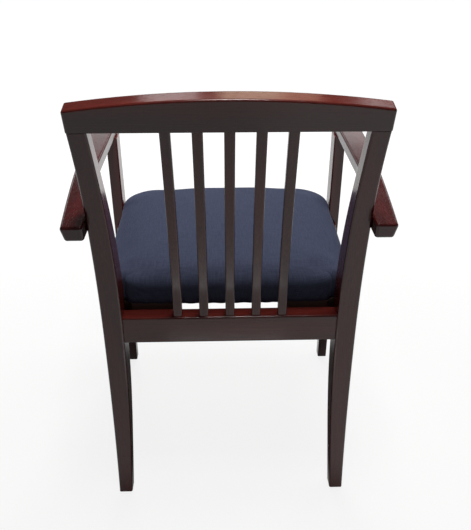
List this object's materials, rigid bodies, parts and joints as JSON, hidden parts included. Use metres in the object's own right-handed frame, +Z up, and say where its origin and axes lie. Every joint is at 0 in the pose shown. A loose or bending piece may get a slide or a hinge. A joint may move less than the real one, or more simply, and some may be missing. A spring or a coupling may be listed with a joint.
{
  "type": "visitor chair",
  "caption": "Wooden visitor armchair with flat open arms, a slatted back under a bowed crest rail, and a crowned seat pad in plain navy cloth.",
  "frame": {"origin": "on the floor, under the middle of the chair's overall length and width", "axes": "+X to the sitter's left, +Y to the back of the chair, +Z up"},
  "size_m": [0.6188, 0.5952, 0.8399],
  "materials": {
    "mahogany_lacquer": "dark red-brown stain under gloss lacquer",
    "plain_beech": "bare turned beech",
    "block_wood": "sawn hardwood, stained with the frame",
    "seat_plywood": "bare plywood",
    "seat_foam": "open-cell foam",
    "navy_cloth": "plain woven navy upholstery cloth",
    "dust_cloth": "thin black non-woven cloth",
    "zinc_steel": "zinc-plated steel",
    "glide_nylon": "moulded black nylon"
  },
  "bodies": {
    "root": {"armrest_dowels": "plain_beech", "armrest_left": "mahogany_lacquer", "armrest_right": "mahogany_lacquer", "armrest_screw_plugs": "mahogany_lacquer", "armrest_screws": "zinc_steel", "back_slat_1": "mahogany_lacquer", "back_slat_2": "mahogany_lacquer", "back_slat_3": "mahogany_lacquer", "back_slat_4": "mahogany_lacquer", "back_slat_5": "mahogany_lacquer", "corner_block_front_left": "block_wood", "corner_block_front_right": "block_wood", "corner_block_rear_left": "block_wood", "corner_block_rear_right": "block_wood", "corner_block_screws": "zinc_steel", "cover_staples": "zinc_steel", "crest_dowels": "plain_beech", "crest_rail": "mahogany_lacquer", "dust_cover": "dust_cloth", "foot_glide_front_left": "glide_nylon", "foot_glide_front_right": "glide_nylon", "foot_glide_rear_left": "glide_nylon", "foot_glide_rear_right": "glide_nylon", "front_leg_left": "mahogany_lacquer", "front_leg_right": "mahogany_lacquer", "front_rail_dowels": "plain_beech", "front_seat_rail": "mahogany_lacquer", "glide_nails": "zinc_steel", "rear_post_left": "mahogany_lacquer", "rear_post_right": "mahogany_lacquer", "rear_rail_dowels": "plain_beech", "rear_seat_rail": "mahogany_lacquer", "seat_board": "seat_plywood", "seat_cover": "navy_cloth", "seat_foam": "seat_foam", "seat_screws": "zinc_steel", "side_rail_dowels": "plain_beech", "side_seat_rail_left": "mahogany_lacquer", "side_seat_rail_right": "mahogany_lacquer"}
  },
  "joints": []
}
